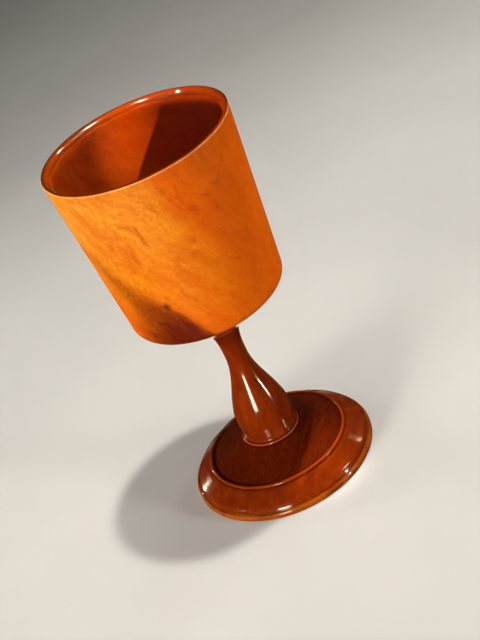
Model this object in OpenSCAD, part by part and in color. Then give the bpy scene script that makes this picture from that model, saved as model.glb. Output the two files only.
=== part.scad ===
// Turned wooden communion chalice
// Three lathe-turned pieces, bowl, stem and foot, joined by glued round tenons.
// Millimetres. The origin is the centre of the circle the foot stands on, +Z is up.

/* [Bowl] */
// Height of the whole chalice, floor to lip
height = 180; // [172:0.5:190]
// Outer diameter at the lip
lip_d = 85; // [81:0.2:88]
// Outer diameter at the bottom of the wall
waist_d = 72.6; // [70:0.1:77]
// Height above the floor where the bowl meets the stem
bowl_z = 80.3; // [78:0.1:82]
// Slope of the conical underside, in degrees
under_slope = 33.5; // [31:0.5:35]
// Thickness of the wall
wall = 3.2; // [2.6:0.1:4]
// Thickness of the bottom at its centre
bottom = 12; // [11:0.5:14]
// Radius of the curve between inner wall and inner floor
hollow_r = 14; // [12:0.5:16]
// Radius of the lower corner outside
corner_r = 4.5; // [3:0.1:5]

/* [Lip] */
// Radius of the outer edge of the lip
lip_round = 0.7; // [0.4:0.05:0.8]
// Height of the rounded bevel inside the lip
bevel_h = 2.9; // [2:0.1:4]
// Width of the ledge where the bevel meets the inner wall
ledge = 0.3; // [0.1:0.05:0.4]

/* [Stem] */
// Diameter of the bulb
bulb_d = 27.2; // [26.2:0.1:28]
// Height of the widest part of the bulb
bulb_z = 28; // [26:0.2:31]
// Diameter of the neck
neck_d = 10.7; // [10.6:0.1:12]
// Height of the neck
neck_z = 64; // [60:0.5:66]
// Diameter where the stem flares out under the bowl
flare_d = 16; // [14:0.1:18]
// Diameter of the thin flange that sits on the foot
flange_d = 28.5; // [28:0.1:29.4]
// Thickness of the flange
flange_t = 1.1; // [0.9:0.1:1.4]
// Diameter of the waist between flange and bulb
cove_d = 25.4; // [24:0.1:26]

/* [Foot] */
// Diameter of the plinth rim, the widest part of the foot
foot_d = 89; // [86:0.2:92]
// Height of the seat for the stem's flange
foot_h = 18.9; // [18:0.1:20]
// Height of the groove above the plinth rim
groove_z = 3.2; // [3:0.1:3.6]
// Radius of the rounded shoulder above the groove
shoulder_r = 4; // [3.4:0.1:4.6]
// Slope of the skirt between shoulder and bead, in degrees
skirt_slope = 35; // [33:0.5:36]
// Diameter of the circle the bead stands on
bead_d = 67.2; // [65:0.2:69]
// Radius of the bead
bead_r = 0.85; // [0.6:0.05:1]
// Dip of the inner dome below a straight cone
dome_dip = 0.4; // [0:0.1:0.8]

/* [Underside] */
// Diameter of the shallow recess turned in the underside
recess_d = 68; // [60:1:72]
// Depth of the recess
recess_h = 2.6; // [1.5:0.1:3]

/* [Tenons] */
// Diameter of the stem's upper tenon
top_tenon_d = 10; // [8:0.2:10.6]
// Length of the upper tenon
top_tenon_l = 8.4; // [6:0.2:8.8]
// Diameter of the stem's lower tenon
foot_tenon_d = 14; // [12:0.2:18]
// Length of the lower tenon
foot_tenon_l = 11.4; // [8:0.2:11.6]
// Gap for glue around each tenon
glue = 0.05; // [0.05:0.01:0.1]
// Space for spare glue past the end of each tenon
glue_end = 0.6; // [0.4:0.1:1]

/* [Hidden] */
$fn = 180;
light_wood = [0.80, 0.44, 0.14];
dark_wood = [0.46, 0.19, 0.06];

// Smooth S from 0 to 1
function ease(t) = (1 - cos(180 * t)) / 2;
function mix(a, b, t) = a + (b - a) * t;
// n + 1 points of an arc of radius r about [x, z]
function arc(x, z, r, a0, a1, n) =
    [for (i = [0:n]) let (a = mix(a0, a1, i / n)) [x + r * cos(a), z + r * sin(a)]];

// Bowl: a straight flared wall; the lower corner's arc touches the conical underside and the wall
under_x = flare_d / 2 + 0.6;
corner_x = waist_d / 2 - corner_r;
corner_z = bowl_z + (corner_x - under_x) * tan(under_slope) + corner_r / cos(under_slope);
wall_a = atan((lip_d - waist_d) / 2 / (height - corner_z));
function outer_x(z) = mix(waist_d, lip_d, (z - corner_z) / (height - corner_z)) / 2;
// Inside: a corner arc runs into a shallow round floor centred on the axis
hollow_a = 60;
hollow_x = waist_d / 2 - wall - hollow_r;
round_r = hollow_x / cos(hollow_a) + hollow_r;
floor_z = bowl_z + bottom;
hollow_z = floor_z + round_r * (1 - sin(hollow_a)) + hollow_r * sin(hollow_a);
function inner_x(z) = mix(waist_d, lip_d, (z - hollow_z) / (height - hollow_z)) / 2 - wall;
crest_x = lip_d / 2 - lip_round - 0.25;
bevel_z = height - bevel_h;
bevel_w = crest_x - inner_x(bevel_z) - ledge;

// Stem
edge_r = flange_t / 2;
flange_z = foot_h + flange_t;
cove_r = (flange_d - flange_t - cove_d) / 2;
cove_z = flange_z + cove_r;
top_cove = 0.8;             // small cove right under the bowl
function neck_x(z) = mix(neck_d, flare_d, pow((z - neck_z) / (bowl_z - neck_z), 3)) / 2;
tenon_lead = 0.5;           // chamfer on the end of a tenon

// Foot
plinth_edge = 0.5;
plinth_top = 1.4;           // radius of the plinth rim's upper edge
plinth_a = 50;              // how far that edge turns before the groove
groove_r = 0.45;
shoulder_x = foot_d / 2 - 1.25 - shoulder_r;
shoulder_z = groove_z - 0.9;
skirt_a = 90 - skirt_slope;
skirt_x = shoulder_x + shoulder_r * cos(skirt_a);
skirt_z = shoulder_z + shoulder_r * sin(skirt_a);
function skirt(x) = skirt_z + (skirt_x - x) * tan(skirt_slope);
bead_x = bead_d / 2;
bead_z = skirt(bead_x + bead_r) + 0.45;
dome_x = bead_x - bead_r * 0.98;
seat_x = flange_d / 2 - 0.7;

module turned(points) {
    rotate_extrude()
        polygon(points);
}

module bowl() {
    socket_x = top_tenon_d / 2 + glue;
    socket_z = bowl_z + top_tenon_l + glue_end;
    color(light_wood)
        turned(concat(
            [[socket_x, bowl_z], [under_x, bowl_z]],
            arc(corner_x, corner_z, corner_r, under_slope - 90, -wall_a, 6),
            [[outer_x(height - lip_round), height - lip_round]],
            arc(lip_d / 2 - lip_round, height - lip_round, lip_round, 15, 90, 5),
            [for (a = [90:-15:0]) [crest_x - bevel_w * cos(a), bevel_z + bevel_h * sin(a)]],
            [[inner_x(bevel_z), bevel_z], [inner_x(hollow_z), hollow_z]],
            arc(hollow_x, hollow_z, hollow_r, -8, -hollow_a, 6),
            arc(0, floor_z + round_r, round_r, -hollow_a - 3, -90, 9),
            [[0, socket_z], [socket_x, socket_z]]
        ));
}

module stem() {
    foot_end = foot_h - foot_tenon_l;
    top_end = bowl_z + top_tenon_l;
    cove_top = bowl_z - top_cove;
    color(dark_wood)
        turned(concat(
            [[0, foot_end], [foot_tenon_d / 2 - tenon_lead, foot_end]],
            [[foot_tenon_d / 2, foot_end + tenon_lead], [foot_tenon_d / 2, foot_h]],
            arc(flange_d / 2 - edge_r, foot_h + edge_r, edge_r, -90, 90, 8),
            arc(cove_d / 2 + cove_r, cove_z, cove_r, 262, 180, 6),
            [for (i = [1:8]) let (t = i / 8) [mix(cove_d, bulb_d, ease(t)) / 2, mix(cove_z, bulb_z, t)]],
            [for (i = [1:18]) let (t = i / 18) [mix(bulb_d, neck_d, ease(t)) / 2, mix(bulb_z, neck_z, t)]],
            [for (i = [1:12]) let (z = mix(neck_z, cove_top, i / 12)) [neck_x(z), z]],
            arc(neck_x(cove_top) + top_cove, cove_top, top_cove, 160, 90, 4),
            [[top_tenon_d / 2, bowl_z], [top_tenon_d / 2, top_end - tenon_lead]],
            [[top_tenon_d / 2 - tenon_lead, top_end], [0, top_end]]
        ));
}

module foot() {
    socket_x = foot_tenon_d / 2 + glue;
    socket_z = foot_h - foot_tenon_l - glue_end;
    start_a = asin((groove_z + groove_r * 0.8 - shoulder_z) / shoulder_r);
    color(dark_wood)
        turned(concat(
            [[0, recess_h], [recess_d / 2 - recess_h, recess_h], [recess_d / 2, 0]],
            arc(foot_d / 2 - plinth_edge, plinth_edge, plinth_edge, -90, 0, 5),
            arc(foot_d / 2 - plinth_top, groove_z - groove_r - plinth_top * sin(plinth_a), plinth_top, 0, plinth_a, 5),
            arc(foot_d / 2 - 1.1, groove_z, groove_r, -50, -230, 8),
            arc(shoulder_x, shoulder_z, shoulder_r, start_a, skirt_a, 8),
            [[bead_x + bead_r + 0.2, skirt(bead_x + bead_r + 0.2)]],
            arc(bead_x, bead_z, bead_r, -40, 180, 14),
            [for (i = [0:10]) let (t = i / 10)
                [mix(dome_x, seat_x + 0.5, t), mix(bead_z - 0.15, foot_h - 0.3, t) - dome_dip * sin(180 * t)]],
            [[seat_x, foot_h], [socket_x, foot_h], [socket_x, socket_z], [0, socket_z]]
        ));
}

bowl();
stem();
foot();
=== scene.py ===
"""Looks for the turned wooden communion chalice: bowl, stem and foot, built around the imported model."""
import math

import bmesh
import bpy
from mathutils import Matrix, Vector


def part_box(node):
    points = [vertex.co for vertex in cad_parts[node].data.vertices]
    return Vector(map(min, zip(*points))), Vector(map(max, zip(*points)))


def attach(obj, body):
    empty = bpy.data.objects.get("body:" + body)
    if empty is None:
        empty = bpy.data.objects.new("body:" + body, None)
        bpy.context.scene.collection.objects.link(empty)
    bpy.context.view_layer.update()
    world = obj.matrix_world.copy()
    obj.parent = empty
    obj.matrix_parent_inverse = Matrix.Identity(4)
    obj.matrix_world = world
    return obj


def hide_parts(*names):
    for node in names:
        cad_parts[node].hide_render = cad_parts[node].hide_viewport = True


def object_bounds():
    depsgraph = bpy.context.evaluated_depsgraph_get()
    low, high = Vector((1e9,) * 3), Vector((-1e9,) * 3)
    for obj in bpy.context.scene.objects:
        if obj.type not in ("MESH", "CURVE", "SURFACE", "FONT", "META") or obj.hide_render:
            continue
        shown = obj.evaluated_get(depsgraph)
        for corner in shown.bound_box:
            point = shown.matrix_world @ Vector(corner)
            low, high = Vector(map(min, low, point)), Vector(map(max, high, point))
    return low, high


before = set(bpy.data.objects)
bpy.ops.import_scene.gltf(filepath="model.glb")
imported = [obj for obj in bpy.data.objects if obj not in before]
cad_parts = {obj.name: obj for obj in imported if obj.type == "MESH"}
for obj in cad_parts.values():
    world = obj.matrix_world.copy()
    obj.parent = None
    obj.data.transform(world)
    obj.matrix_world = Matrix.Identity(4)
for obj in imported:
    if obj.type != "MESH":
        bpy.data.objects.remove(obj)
cad_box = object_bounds()

MM = 0.001
TURNS = 320                        # vertices round the lathe axis
SHARP = math.radians(32)           # edges that turn more than this stay sharp
LIGHT = (1.0, 0.90, 0.66)          # colour of the lamps, a little warm
WORLD_LEVEL = 0.02


# ---------------------------------------------------------------- profiles, all in mm

def mix(a, b, t):
    return a + (b - a) * t


def ease(t):
    """Smooth S from 0 to 1."""
    return (1 - math.cos(math.pi * t)) / 2


def arc(x, z, r, a0, a1, n):
    """n + 1 points of an arc about (x, z); the angles are in degrees."""
    turns = [math.radians(mix(a0, a1, i / n)) for i in range(n + 1)]
    return [(x + r * math.cos(a), z + r * math.sin(a)) for a in turns]


def low(name):
    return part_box(name)[0].z / MM


def high(name):
    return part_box(name)[1].z / MM


def radius(name):
    lo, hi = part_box(name)
    return (hi.x - lo.x) / 2 / MM


BOWL_LOW, LIP_Z, LIP_R = low("bowl"), high("bowl"), radius("bowl")
FOOT_TOP, FLANGE_R, FOOT_R = high("foot"), radius("stem"), radius("foot")
LIP_ROUND, BEVEL_H = 0.7, 2.9
FLANGE_EDGE = 0.55                 # radius of the flange's rounded edge
GROOVE_Z, GROOVE_R = 3.2, 0.45
SHOULDER_R, SKIRT_SLOPE = 4.0, 35  # the slope is in degrees
BEAD_X, BEAD_R = 33.6, 0.85
SHOULDER_X, SHOULDER_Z = FOOT_R - 1.25 - SHOULDER_R, GROOVE_Z - 0.9
SKIRT_X = SHOULDER_X + SHOULDER_R * math.sin(math.radians(SKIRT_SLOPE))


def skirt(x):
    """Height of the foot's sloping skirt at radius x."""
    slope = math.radians(SKIRT_SLOPE)
    return SHOULDER_Z + SHOULDER_R * math.cos(slope) + (SKIRT_X - x) * math.tan(slope)


SKIRT_END = BEAD_X + BEAD_R + 0.2  # where the skirt runs under the bead
BEAD_Z = skirt(BEAD_X + BEAD_R) + 0.45


def bowl_profile():
    """The cup's closed outline (radius, height), from the socket round the outside to the inner floor."""
    waist_r, wall, corner_r, slope_deg = 36.3, 3.2, 4.5, 33.5
    socket_r, socket_h, under_x, floor_t = 5.05, 9.0, 8.6, 12.0
    slope = math.radians(slope_deg)
    corner_x = waist_r - corner_r
    corner_z = BOWL_LOW + (corner_x - under_x) * math.tan(slope) + corner_r / math.cos(slope)
    wall_a = math.degrees(math.atan((LIP_R - waist_r) / (LIP_Z - corner_z)))

    def outer(z):
        return mix(waist_r, LIP_R, (z - corner_z) / (LIP_Z - corner_z))

    hollow_r, hollow_deg = 14.0, 60
    hollow_a = math.radians(hollow_deg)
    hollow_x = waist_r - wall - hollow_r
    round_r = hollow_x / math.cos(hollow_a) + hollow_r
    floor_z = BOWL_LOW + floor_t
    hollow_z = floor_z + round_r * (1 - math.sin(hollow_a)) + hollow_r * math.sin(hollow_a)

    def inner(z):
        return mix(waist_r, LIP_R, (z - hollow_z) / (LIP_Z - hollow_z)) - wall

    crest_x, ledge = LIP_R - LIP_ROUND - 0.25, 0.3
    bevel_z = LIP_Z - BEVEL_H
    bevel_w = crest_x - inner(bevel_z) - ledge
    cone_x = corner_x + corner_r * math.sin(slope)
    points = [(socket_r, BOWL_LOW), (under_x, BOWL_LOW)]
    points += [(mix(under_x, cone_x, t), BOWL_LOW + (cone_x - under_x) * t * math.tan(slope))
               for t in (0.02, 0.2, 0.4, 0.6, 0.8, 0.97)]
    points += arc(corner_x, corner_z, corner_r, slope_deg - 90, -wall_a, 16)
    points += [(outer(z), z) for z in (mix(corner_z, LIP_Z - LIP_ROUND, i / 30) for i in range(1, 31))]
    points += arc(LIP_R - LIP_ROUND, LIP_Z - LIP_ROUND, LIP_ROUND, 12, 90, 10)
    bevel = [math.radians(90 - 90 * i / 18) for i in range(19)]
    points += [(crest_x - bevel_w * math.cos(a), bevel_z + BEVEL_H * math.sin(a)) for a in bevel]
    points += [(inner(z), z) for z in (mix(bevel_z - 0.06, hollow_z, i / 30) for i in range(31))]
    points += arc(hollow_x, hollow_z, hollow_r, -4, -hollow_deg, 16)
    points += arc(0, floor_z + round_r, round_r, -hollow_deg - 1.5, -90, 18)[:-1]
    points += [(0, floor_z), (0, BOWL_LOW + socket_h), (socket_r, BOWL_LOW + socket_h)]
    return points


def stem_profile():
    """The baluster with its two tenons."""
    foot_end, top_end = low("stem"), high("stem")
    foot_tenon_r, top_tenon_r, lead = 7.0, 5.0, 0.5
    bulb_r, bulb_z, neck_r, neck_z, flare_r = 13.6, 28.0, 5.35, 64.0, 8.0
    cove_x, cove_r, top_cove = 12.7, 1.0, 0.8
    cove_z = FOOT_TOP + 2 * FLANGE_EDGE + cove_r
    cove_top = BOWL_LOW - top_cove

    def neck(z):
        return mix(neck_r, flare_r, ((z - neck_z) / (BOWL_LOW - neck_z)) ** 3)

    points = [(0, foot_end), (foot_tenon_r - lead, foot_end), (foot_tenon_r, foot_end + lead),
              (foot_tenon_r, FOOT_TOP)]
    points += arc(FLANGE_R - FLANGE_EDGE, FOOT_TOP + FLANGE_EDGE, FLANGE_EDGE, -90, 90, 16)
    points += arc(cove_x + cove_r, cove_z, cove_r, 262, 180, 12)
    points += [(mix(cove_x, bulb_r, ease(i / 16)), mix(cove_z, bulb_z, i / 16)) for i in range(1, 17)]
    points += [(mix(bulb_r, neck_r, ease(i / 48)), mix(bulb_z, neck_z, i / 48)) for i in range(1, 49)]
    points += [(neck(z), z) for z in (mix(neck_z, cove_top, i / 16) for i in range(1, 17))]
    points += arc(neck(cove_top) + top_cove, cove_top, top_cove, 165, 90, 6)
    points += [(top_tenon_r, BOWL_LOW), (top_tenon_r, top_end - lead), (top_tenon_r - lead, top_end),
               (0, top_end)]
    return points


def foot_profile():
    """The moulded foot: recess, plinth rim, groove, shoulder, skirt, bead, inner dome and socket."""
    recess_r, recess_h, edge_r, top_r, top_deg, dip = 34.0, 2.6, 0.5, 1.4, 50, 0.4
    socket_r, socket_z = 7.05, low("stem") - 0.6
    dome_x, seat_x = BEAD_X - BEAD_R * 0.98, FLANGE_R - 0.7
    start = math.degrees(math.asin((GROOVE_Z + GROOVE_R * 0.8 - SHOULDER_Z) / SHOULDER_R))
    top_z = GROOVE_Z - GROOVE_R - top_r * math.sin(math.radians(top_deg))
    points = [(0, recess_h), (recess_r * 0.5, recess_h), (recess_r - recess_h, recess_h), (recess_r, 0)]
    points += arc(FOOT_R - edge_r, edge_r, edge_r, -90, 0, 8)
    points += arc(FOOT_R - top_r, top_z, top_r, 0, top_deg, 10)
    points += arc(FOOT_R - 1.1, GROOVE_Z, GROOVE_R, -50, -230, 14)
    points += arc(SHOULDER_X, SHOULDER_Z, SHOULDER_R, start, 90 - SKIRT_SLOPE, 22)
    points += [(x, skirt(x)) for x in (mix(SKIRT_X, SKIRT_END, t) for t in (0.33, 0.67, 1))]
    points += arc(BEAD_X, BEAD_Z, BEAD_R, -40, 180, 26)
    for t in (i / 24 for i in range(25)):
        cone_z = mix(BEAD_Z - 0.15, FOOT_TOP - 0.3, t)
        points.append((mix(dome_x, seat_x + 0.5, t), cone_z - dip * math.sin(math.pi * t)))
    points += [(seat_x, FOOT_TOP), (socket_r, FOOT_TOP), (socket_r, socket_z), (0, socket_z)]
    return points


# ---------------------------------------------------------------- lathe

def lathe_ring(bm, x, z):
    """One ring of vertices, or a single vertex on the axis."""
    if x < 1e-9:
        return [bm.verts.new((0, 0, z * MM))]
    angles = [2 * math.pi * k / TURNS for k in range(TURNS)]
    return [bm.verts.new((x * MM * math.cos(a), x * MM * math.sin(a), z * MM)) for a in angles]


def join_rings(bm, a, b):
    """Faces between two rings; two points on the axis have none."""
    if len(a) == 1 and len(b) == 1:
        return
    for k in range(TURNS):
        n = (k + 1) % TURNS
        if len(a) == 1:
            bm.faces.new((a[0], b[n], b[k]))
        elif len(b) == 1:
            bm.faces.new((a[k], a[n], b[0]))
        else:
            bm.faces.new((a[k], a[n], b[n], b[k]))


def turned(name, profile, closed):
    """Turns a profile about +Z. closed joins its last point to its first; otherwise both lie on the axis."""
    bm = bmesh.new()
    rings = [lathe_ring(bm, x, z) for x, z in profile]
    pairs = list(zip(rings, rings[1:]))
    if closed:
        pairs.append((rings[-1], rings[0]))
    for a, b in pairs:
        join_rings(bm, a, b)
    bmesh.ops.recalc_face_normals(bm, faces=bm.faces)
    for face in bm.faces:
        face.smooth = True
    for edge in bm.edges:
        edge.smooth = len(edge.link_faces) == 2 and edge.calc_face_angle() < SHARP
    mesh = bpy.data.meshes.new(name)
    bm.to_mesh(mesh)
    bm.free()
    piece = bpy.data.objects.new(name, mesh)
    bpy.context.scene.collection.objects.link(piece)
    return piece


# ---------------------------------------------------------------- material helpers

class Graph:
    """Small helper that adds nodes to one material."""

    def __init__(self, name):
        self.material = bpy.data.materials.new(name)
        self.material.use_nodes = True
        self.tree = self.material.node_tree
        self.bsdf = self.tree.nodes["Principled BSDF"]
        self.point = self.add("ShaderNodeTexCoord").outputs["Object"]

    def add(self, kind, inputs=None, **props):
        made = self.tree.nodes.new(kind)
        for key, value in props.items():
            setattr(made, key, value)
        for key, value in (inputs or {}).items():
            self.put(made.inputs[key], value)
        return made

    def put(self, socket, value):
        if isinstance(value, bpy.types.NodeSocket):
            self.tree.links.new(value, socket)
        else:
            socket.default_value = value

    def math(self, operation, a, b=0.0, clamp=False):
        return self.add("ShaderNodeMath", {0: a, 1: b}, operation=operation, use_clamp=clamp).outputs[0]

    def times(self, a, b, clamp=False):
        return self.math("MULTIPLY", a, b, clamp)

    def vector(self, operation, a, b=(0, 0, 0), scale=None):
        made = self.add("ShaderNodeVectorMath", {0: a, 1: b}, operation=operation)
        if scale is not None:
            self.put(made.inputs["Scale"], scale)
        return made.outputs["Value" if operation in ("LENGTH", "DISTANCE", "DOT_PRODUCT") else "Vector"]

    def height(self):
        return self.add("ShaderNodeSeparateXYZ", {0: self.point}).outputs["Z"]

    def grain(self, rotation=(0, 0, 0), stretch=(1, 1, 1), vector=None):
        """The point in wood turned by rotation and drawn out by stretch along its own axes."""
        turn = [math.radians(a) for a in rotation]
        return self.add("ShaderNodeMapping", {"Vector": vector or self.point, "Rotation": turn,
                                              "Scale": stretch}, vector_type="TEXTURE").outputs[0]

    def noise(self, scale, detail=3.0, roughness=0.5, distortion=0.0, vector=None):
        return self.add("ShaderNodeTexNoise", {"Vector": vector or self.point, "Scale": scale,
                                               "Detail": detail, "Roughness": roughness,
                                               "Distortion": distortion}).outputs["Fac"]

    def ramp(self, value, stops):
        """stops is a list of (position, linear colour)."""
        made = self.add("ShaderNodeValToRGB", {"Fac": value})
        points = made.color_ramp.elements
        while len(points) < len(stops):
            points.new(0.5)
        for point, (at, colour) in zip(points, stops):
            point.position, point.color = at, (*colour, 1)
        return made.outputs["Color"]

    def range(self, value, low0, high0, low1=0.0, high1=1.0):
        """Smooth step from low1 at low0 to high1 at high0, held beyond both."""
        return self.add("ShaderNodeMapRange", {"Value": value, "From Min": low0, "From Max": high0,
                                               "To Min": low1, "To Max": high1},
                        interpolation_type="SMOOTHSTEP").outputs[0]

    def blend(self, factor, a, b, kind="MIX"):
        made = self.add("ShaderNodeMix", data_type="RGBA", blend_type=kind)
        self.put(made.inputs[0], factor)
        for socket, value in ((made.inputs[6], a), (made.inputs[7], b)):
            self.put(socket, (*value, 1) if isinstance(value, tuple) else value)
        return made.outputs[2]

    def bump(self, height, strength, distance):
        return self.add("ShaderNodeBump", {"Height": height, "Strength": strength,
                                           "Distance": distance}).outputs[0]

    def finish(self, **inputs):
        for key, value in inputs.items():
            self.put(self.bsdf.inputs[key.replace("_", " ")], value)
        return self.material


def near(g, centre, reach):
    """1 at a point of the wood, falling to 0 at a distance of reach (mm)."""
    away = g.vector("DISTANCE", g.point, tuple(c * MM for c in centre))
    return g.range(away, 0.0, reach * MM, 1.0, 0.0)


def plane(g, direction, level, point):
    """Signed distance in mm of a point from the plane where direction . point is level (mm)."""
    n = Vector(direction).normalized() / MM
    return g.math("SUBTRACT", g.vector("DOT_PRODUCT", point, tuple(n)), level)


def ring(g, x, z, reach):
    """1 on the circle of radius x at height z, falling to 0 at a distance of reach; all in mm."""
    parts = g.add("ShaderNodeSeparateXYZ", {0: g.point}).outputs
    flat = g.add("ShaderNodeCombineXYZ", {0: parts["X"], 1: parts["Y"]}).outputs[0]
    out = g.add("ShaderNodeCombineXYZ", {0: g.vector("LENGTH", flat), 2: parts["Z"]}).outputs[0]
    away = g.vector("DISTANCE", out, (x * MM, 0, z * MM))
    return g.range(away, 0.0, reach * MM, 1.0, 0.0)


# ---------------------------------------------------------------- bowl wood

AMBER = [(0.32, (0.62, 0.094, 0.002)), (0.52, (0.70, 0.120, 0.002)), (0.70, (0.78, 0.148, 0.003))]
PALE_ZONE = (0.80, 0.280, 0.010)
# painted sheen: a soft pale reflection high on the left of the bowl
PAINTED_SHEEN = (0.86, 0.36, 0.050)
FIGURE = (0.58, 0.090, 0.002)
DASHES = (0.42, 0.050, 0.001)
BURR = (0.46, 0.064, 0.001)
FIBRE = (0.50, 0.065, 0.001)
BAND = (0.24, 0.040, 0.001)
PATCH = (0.115, 0.009, 0.001)
KNOT = (0.07, 0.006, 0.001)
# painted highlight: a thin pale line along the outer edge of the lip
PAINTED_LIP_HIGHLIGHT = (0.95, 0.45, 0.16)
# painted shade inside the cup, in this colour and the next three
PAINTED_INSIDE_SHADE = (0.86, 0.50, 0.28)
PAINTED_BEVEL_SHADE = (0.13, 0.024, 0.002)
PAINTED_CREST_SHADE = (0.09, 0.011, 0.001)
PAINTED_DEPTH_SHADE = (0.10, 0.006, 0.001)
BEVEL_STEP = ((LIP_Z - 3.1) * MM, (LIP_Z - 2.8) * MM)    # heights between which the bevel's glossier finish and its painted shade start
UNDER_STEP = (96.5 * MM, 98.0 * MM)                      # and where the smoother underside ends
KNOTS = [((-16.4, -33.5, 118.0), 3.2, 0.75), ((-14.5, -35.0, 123.5), 3.0, 0.35)]  # centre, size, depth


def bowl_figure(g, bent, cloud, figure, streak, burr, fibre, inside):
    """The wood that outside and inside share: amber with a pale zone on the left, a painted sheen high on the
    left and a diagonal figure.
    """
    colour = g.ramp(cloud, AMBER)
    pale = g.range(plane(g, (0.957, 0, 0.292), 47.5, bent), 8.0, -6.0)
    pale = g.times(pale, g.range(g.height(), 100 * MM, 145 * MM, 0.15, 1.0))
    colour = g.blend(g.times(pale, 0.35 if inside else 0.95), colour, PALE_ZONE)
    # painted sheen: a soft pale reflection high on the left of the bowl
    colour = g.blend(g.times(near(g, (-35, -24, 168), 42), 0.70), colour, PAINTED_SHEEN)
    colour = g.blend(g.range(figure, 0.40, 0.66, 0.0, 0.62), colour, FIGURE)
    dashes = g.math("ADD", 0.45, g.times(near(g, (2, -40, 162), 34), 0.45))
    colour = g.blend(g.times(g.range(streak, 0.50, 0.74), dashes), colour, DASHES)
    colour = g.blend(g.range(burr, 0.35, 0.70, 0.0, 0.30), colour, BURR)
    return g.blend(g.range(fibre, 0.35, 0.75, 0.0, 0.16), colour, FIBRE)


def outside_marks(g, bent, streak, burr, colour):
    """A dark band and a sharp-edged dark patch low on the left, two knots, and a painted highlight along the
    outer edge of the lip.
    """
    band = g.math("ABSOLUTE", plane(g, (0.60, -0.55, 0.58), 69.5, bent))
    band = g.times(g.range(band, 11.0, 0.5), near(g, (-24, -30, 122), 48))
    band = g.times(band, g.range(burr, 0.30, 0.65, 0.55, 0.95))
    colour = g.blend(band, colour, BAND)
    patch = g.times(near(g, (-17, -31, 101), 34), g.range(streak, 0.30, 0.60, 1.0, 0.7))
    edge = g.range(plane(g, (0.80, -0.20, 0.56), 59.0, bent), 1.8, -0.8)
    colour = g.blend(g.times(g.times(patch, edge), 1.45, clamp=True), colour, PATCH)
    for centre, size, depth in KNOTS:
        away = g.vector("DISTANCE", bent, tuple(c * MM for c in centre))
        colour = g.blend(g.times(g.range(away, size * MM, 0.2 * size * MM), depth), colour, KNOT)
    # painted highlight: a thin pale line along the outer edge of the lip
    lip_highlight = ring(g, LIP_R, LIP_Z - 0.5, 0.65)
    return g.blend(g.times(lip_highlight, 0.6), colour, PAINTED_LIP_HIGHLIGHT)


def inside_shades(g, colour):
    """Painted shade inside the cup: redder and darker than the same wood outside, and darker still on the
    bevel, on the crest of the lip and deep in the cup.
    """
    # painted shade: the whole inside darker and redder than the same wood outside
    colour = g.blend(1.0, colour, PAINTED_INSIDE_SHADE, "MULTIPLY")
    # painted shade on the bevel inside the lip
    colour = g.blend(g.times(g.range(g.height(), *BEVEL_STEP), 0.50), colour, PAINTED_BEVEL_SHADE)
    # painted shade on the crest of the lip
    colour = g.blend(g.times(ring(g, LIP_R - 0.5, LIP_Z, 2.0), 0.75), colour, PAINTED_CREST_SHADE)
    # painted shade growing deeper down the inside of the cup
    return g.blend(g.range(g.height(), 172 * MM, 125 * MM, 0.0, 0.50), colour, PAINTED_DEPTH_SHADE)


def bowl_wood(name, inside):
    """Light figured wood, satin outside, a little glossier inside and glossy on the lip's bevel."""
    g = Graph(name)
    warp = g.add("ShaderNodeTexNoise", {"Vector": g.point, "Scale": 30.0, "Detail": 3.0}).outputs["Color"]
    shift = g.vector("SUBTRACT", warp, (0.5, 0.5, 0.5))
    bent = g.vector("ADD", g.point, g.vector("SCALE", shift, scale=0.020))
    cloud = g.noise(20.0, 4.0, 0.55, vector=bent)
    figure = g.noise(100.0, 5.0, 0.65, 0.3, vector=g.grain((0, -36, 0), (1, 1, 3.2), bent))
    streak = g.noise(260.0, 4.0, 0.7, 0.2, vector=g.grain((0, -32, 0), (1, 1, 4), bent))
    burr = g.noise(520.0, 3.0, 0.7, 0.5)
    fibre = g.noise(900.0, 3.0, 0.7, vector=g.grain((0, -12, 0), (1, 1, 6)))
    colour = bowl_figure(g, bent, cloud, figure, streak, burr, fibre, inside)
    colour = inside_shades(g, colour) if inside else outside_marks(g, bent, streak, burr, colour)
    rough = g.range(cloud, 0.3, 0.7, *((0.22, 0.28) if inside else (0.42, 0.50)))
    rough = g.times(rough, g.range(g.height(), *UNDER_STEP, 0.35, 1.0))
    if inside:
        rough = g.times(rough, g.range(g.height(), *BEVEL_STEP, 1.0, 0.5))
    relief = g.math("ADD", g.times(g.range(fibre, 0.3, 0.7), 0.4), figure)
    bumped = g.bump(relief, 0.10 if inside else 0.20, 0.0004)
    return g.finish(Base_Color=colour, Roughness=rough, Normal=bumped, IOR=1.40 if inside else 1.18)


# ---------------------------------------------------------------- stem and foot wood

RED_BROWN = [(0.30, (0.14, 0.0145, 0.001)), (0.50, (0.19, 0.0210, 0.001)), (0.70, (0.25, 0.034, 0.002))]
GRAIN_LINES = (0.11, 0.008, 0.001)
PORES = (0.07, 0.005, 0.001)
# painted shadow of the bowl at the top of the neck
PAINTED_NECK_SHADOW = (0.09, 0.006, 0.001)
# painted highlight on the flange's rounded edge
PAINTED_FLANGE_HIGHLIGHT = (0.50, 0.075, 0.006)
# painted shade in the cove above the flange
PAINTED_COVE_SHADE = (0.04, 0.003, 0.001)
PALE_PLINTH = (0.40, 0.088, 0.008)
# painted shadow of the bowl on the foot's inner dome
PAINTED_DOME_SHADOW = (0.055, 0.005, 0.001)
# painted highlight along the top of the bead
PAINTED_BEAD_HIGHLIGHT = (0.40, 0.055, 0.004)
# painted shade in the creases by the bead, in the groove and under the flange
PAINTED_CREASE_SHADE = (0.03, 0.002, 0.001)
LACQUER_IOR = 1.42


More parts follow.
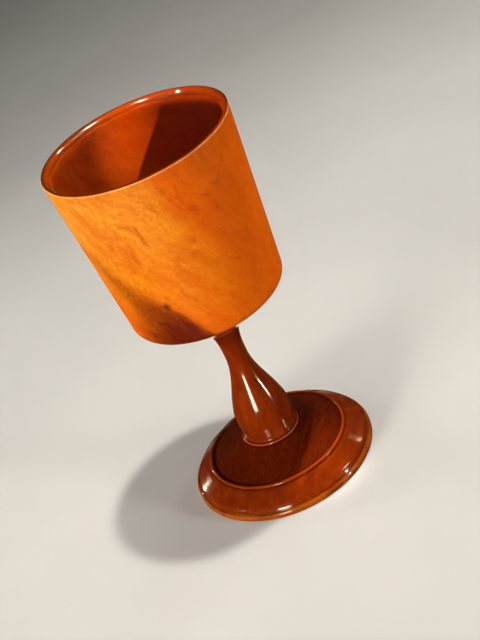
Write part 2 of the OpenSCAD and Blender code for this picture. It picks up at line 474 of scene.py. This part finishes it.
def dark_wood(name, fine, coarse):
    """Dark red-brown lacquered wood. fine and coarse are (rotation, stretch) of its grain lines and bands."""
    g = Graph(name)
    lined = g.grain(*fine)
    bands = g.noise(230.0, 4.0, 0.6, vector=g.grain(*coarse))
    lines = g.noise(760.0, 3.0, 0.65, vector=lined)
    pores = g.noise(1900.0, 2.0, 0.5, vector=lined)
    colour = g.ramp(bands, RED_BROWN)
    colour = g.blend(g.range(lines, 0.45, 0.72, 0.0, 0.45), colour, GRAIN_LINES)
    colour = g.blend(g.range(pores, 0.60, 0.72, 0.0, 0.45), colour, PORES)
    waves = g.noise(55.0, 2.0, 0.4)
    bumped = g.bump(g.math("ADD", waves, g.times(lines, 0.04)), 0.10, 0.0008)
    rough = g.range(lines, 0.3, 0.7, 0.09, 0.14)
    return g, colour, rough, bumped, lines


def stem_wood():
    """Grain up the stem, a painted shadow at the top of the neck under the bowl, a painted highlight on the
    flange's rounded edge and painted shade in the cove above it.
    """
    upright = (0, 0, 0)
    g, colour, rough, bumped, _ = dark_wood("stem_wood", (upright, (1, 1, 14)), (upright, (1, 1, 6)))
    # painted highlight: a pale line along the flange's rounded edge
    colour = g.blend(g.times(ring(g, FLANGE_R, FOOT_TOP + FLANGE_EDGE, 0.9), 0.7), colour, PAINTED_FLANGE_HIGHLIGHT)
    # painted shadow of the bowl across the top of the neck
    colour = g.blend(g.range(g.height(), 68 * MM, 76 * MM, 0.0, 0.6), colour, PAINTED_NECK_SHADOW)
    # painted shade in the cove just above the flange
    colour = g.blend(g.times(ring(g, FLANGE_R - 0.9, FOOT_TOP + 1.5, 0.8), 0.8), colour, PAINTED_COVE_SHADE)
    return g.finish(Base_Color=colour, Roughness=rough, Normal=bumped, IOR=LACQUER_IOR)


def foot_wood():
    """Grain across the foot, a pale plinth rim, a painted shadow of the bowl on the dome, a painted highlight
    along the bead and painted shade in the creases by the bead, in the groove and under the flange.
    """
    across = (0, 0, 58)
    g, colour, rough, bumped, lines = dark_wood("foot_wood", (across, (12, 1, 1)), (across, (5, 1, 1)))
    blotch = g.range(g.noise(90.0, 4.0, 0.6), 0.35, 0.6, 0.35, 1.0)
    pale = g.times(g.range(g.height(), 3.3 * MM, 3.0 * MM, 0.0, 0.85), blotch)
    colour = g.blend(pale, colour, PALE_PLINTH)
    # painted shadow of the bowl on the foot's inner dome, inside the bead
    dome = g.range(g.vector("LENGTH", g.point), (BEAD_X + 1.5) * MM, (BEAD_X + 0.5) * MM, 0.0, 0.90)
    colour = g.blend(g.times(dome, g.range(lines, 0.3, 0.7, 0.7, 1.0)), colour, PAINTED_DOME_SHADOW)
    # painted highlight: a pale line along the top of the bead
    colour = g.blend(g.times(ring(g, BEAD_X + 0.1, BEAD_Z + BEAD_R, 1.0), 0.6), colour, PAINTED_BEAD_HIGHLIGHT)
    # painted shade in three creases: outside the bead, in the groove and under the flange
    creases = ((BEAD_X + BEAD_R + 0.25, skirt(BEAD_X + BEAD_R) + 0.1, 0.7),
             (FOOT_R - 1.2, GROOVE_Z, 0.75),
             (FLANGE_R + 0.1, FOOT_TOP - 0.3, 0.8))
    for x, z, reach in creases:
        colour = g.blend(g.times(ring(g, x, z, reach), 0.85), colour, PAINTED_CREASE_SHADE)
    return g.finish(Base_Color=colour, Roughness=rough, Normal=bumped, IOR=LACQUER_IOR)


def floor_paint():
    g = Graph("pale_floor")
    colour = g.ramp(g.noise(9.0, 3.0), [(0.3, (0.70, 0.74, 0.90)), (0.7, (0.75, 0.79, 0.96))])
    return g.finish(Base_Color=colour, Roughness=0.9, IOR=1.0)


# ---------------------------------------------------------------- pieces

def in_the_cup(face):
    """Whether a face of the bowl has the inside's wood: inner floor, inner wall, bevel and the lip's crest.
    It also takes the ring of the conical underside that lies above below_floor and within floor_r."""
    below_floor, floor_r = 90.5, 30
    centre, normal = face.center, face.normal
    outward = normal.x * centre.x + normal.y * centre.y
    r, z = math.hypot(centre.x, centre.y) / MM, centre.z / MM
    hollow = z > below_floor and (outward < 0 or r < floor_r)
    crest = z > LIP_Z - LIP_ROUND and r < LIP_R - 0.2
    return hollow or crest


def place(name, profile, materials, closed=False):
    """Turns the piece that replaces a CAD node."""
    piece = turned(name + "_turned", profile, closed)
    for material in materials:
        piece.data.materials.append(material)
    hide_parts(name)
    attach(piece, "root")
    return piece


def make_pieces():
    woods = [bowl_wood("bowl_outside", False), bowl_wood("bowl_inside", True)]
    bowl = place("bowl", bowl_profile(), woods, closed=True)
    for face in bowl.data.polygons:
        face.material_index = int(in_the_cup(face))
    place("stem", stem_profile(), [stem_wood()])
    place("foot", foot_profile(), [foot_wood()])


# ---------------------------------------------------------------- setting

def make_floor():
    bm = bmesh.new()
    bmesh.ops.create_grid(bm, x_segments=2, y_segments=2, size=4.0)
    mesh = bpy.data.meshes.new("floor")
    bm.to_mesh(mesh)
    bm.free()
    floor = bpy.data.objects.new("floor", mesh)
    floor.location.z = cad_box[0].z - 0.0002
    bpy.context.scene.collection.objects.link(floor)
    mesh.materials.append(floor_paint())
    floor.visible_glossy = False   # a pale floor mirrored in the lacquer would wash the wood out
    floor.visible_diffuse = False


def hang(lamp, azimuth, elevation, away, target):
    """Puts a lamp at a distance from its target and points it there."""
    a, e = math.radians(azimuth), math.radians(elevation)
    back = Vector((math.cos(a) * math.cos(e), math.sin(a) * math.cos(e), math.sin(e)))
    lamp.location = Vector(target) + back * away
    lamp.rotation_mode = "QUATERNION"
    lamp.rotation_quaternion = (-back).to_track_quat("-Z", "Y")
    lamp.visible_camera = False
    bpy.context.scene.collection.objects.link(lamp)


def softbox(name, azimuth, elevation, away, width, height, level, shine=True, lit=True,
            target=(0, 0, 0.09), spread=180):
    """An area light round the object; azimuth 0 is +X and -90 the camera's side. level is the light that it
    throws on a surface that faces it. Without shine it gives no highlight, and not lit it gives only that."""
    data = bpy.data.lights.new(name, "AREA")
    data.shape, data.size, data.size_y = "RECTANGLE", width, height
    data.spread, half = math.radians(spread), math.radians(spread) / 2
    gain = math.tan(half) / (math.tan(half) - half) if spread < 180 else 1   # a narrow spread is brighter
    data.energy, data.color = level / gain * math.pi ** 2 * away ** 2, LIGHT
    lamp = bpy.data.objects.new(name, data)
    lamp.visible_glossy, lamp.visible_diffuse = shine, lit
    hang(lamp, azimuth, elevation, away, target)


def beam(name, azimuth, elevation, target, spread, tall, level, size, blend, shine=True):
    """A spot 1 m from its target that lights a patch spread degrees wide and tall times as high."""
    away = 1.0
    data = bpy.data.lights.new(name, "SPOT")
    data.energy, data.color = level * 4 * math.pi ** 2 * away ** 2, LIGHT
    data.spot_size, data.spot_blend, data.shadow_soft_size = math.radians(spread), blend, size
    lamp = bpy.data.objects.new(name, data)
    lamp.scale.y = tall
    lamp.visible_glossy = shine
    hang(lamp, azimuth, elevation, away, target)


def rim_glint(name, azimuth, elevation, width, height, level, target):
    """A narrow lamp aimed at the bevel inside the lip; it gives highlights only."""
    softbox(name, azimuth, elevation, 1.0, width, height, level, lit=False, target=target, spread=8)


def make_lights():
    softbox("overhead", -6, 79, 1.0, 0.04, 0.04, 0.62, shine=False)
    beam("foot_key", -6, 79, (0.013, -0.023, 0.008), 2.4, 1.0, 1.60, size=0.015, blend=1.0, shine=False)
    softbox("right", -20, 36, 1.0, 0.12, 0.10, 0.20, lit=False)
    beam("cup_spot", -26, 33, (0.018, 0.034, 0.175), 1.50, 1.60, 2.20, size=0.01, blend=0.35)
    softbox("right_low", -40, 7, 1.2, 0.20, 0.08, 0.72, shine=False, spread=60)
    softbox("right_streak", -33, 1, 1.2, 0.035, 0.14, 0.40, lit=False)
    softbox("front_streak", -115, -1, 0.5, 0.11, 0.15, 1.00, lit=False)
    softbox("left_low", -142, 7, 1.1, 0.50, 0.10, 1.72, shine=False, spread=60)
    softbox("left", -170, 20, 1.0, 0.04, 0.08, 0.07, lit=False)
    softbox("front_high", -120, 43, 1.0, 0.30, 0.12, 0.04, lit=False)
    rim_glint("rim_right", -175, 30, 0.06, 0.04, 3.00, (0.027, 0.032, 0.178))
    rim_glint("rim_broad", -122, 45, 0.18, 0.10, 9.00, (0.010, 0.041, 0.178))
    rim_glint("rim_left", -38, 50, 0.10, 0.05, 5.00, (-0.01, 0.03, 0.178))
    rim_glint("rim_far_left", 14, 31, 0.08, 0.05, 0.90, (-0.03, 0.03, 0.178))
    softbox("back_spark", 132, 4, 1.0, 0.03, 0.08, 0.25, lit=False)
    softbox("right_spark", 22, 28, 1.0, 0.02, 0.04, 0.03, lit=False)
    softbox("under_glint", 90, -37, 0.12, 0.16, 0.05, 0.26, lit=False, target=(0, 0, 0.08), spread=60)
    softbox("back_left", 140, 10, 1.0, 0.20, 0.10, 0.50, shine=False, spread=60)
    softbox("back_right", 40, 10, 1.0, 0.20, 0.10, 0.35, shine=False, spread=60)


def make_world():
    world = bpy.data.worlds.new("studio")
    world.use_nodes = True
    background = world.node_tree.nodes["Background"]
    background.inputs["Color"].default_value = (*LIGHT, 1)
    background.inputs["Strength"].default_value = WORLD_LEVEL
    bpy.context.scene.world = world


def make_camera():
    """Looks down about 30 degrees from the front, leaning so that the chalice tilts left in the frame."""
    lens, sensor, place_at = 76.379, 36.0, (0, -0.529885, 0.390966)
    right = Vector((0.901703, -0.229681, -0.366305))
    up = Vector((0.432150, 0.452576, 0.780014))
    back = Vector((-0.013373, -0.861639, 0.507345))
    data = bpy.data.cameras.new("camera")
    data.lens, data.sensor_width, data.sensor_fit = lens, sensor, "AUTO"
    data.clip_start, data.clip_end = 0.01, 20
    camera = bpy.data.objects.new("camera", data)
    turn = Matrix((right, up, back)).transposed()
    camera.matrix_world = Matrix.Translation(place_at) @ turn.to_4x4()
    bpy.context.scene.collection.objects.link(camera)
    bpy.context.scene.camera = camera


make_pieces()
make_floor()
make_lights()
make_world()
make_camera()
bpy.context.scene.view_settings.view_transform = "Standard"
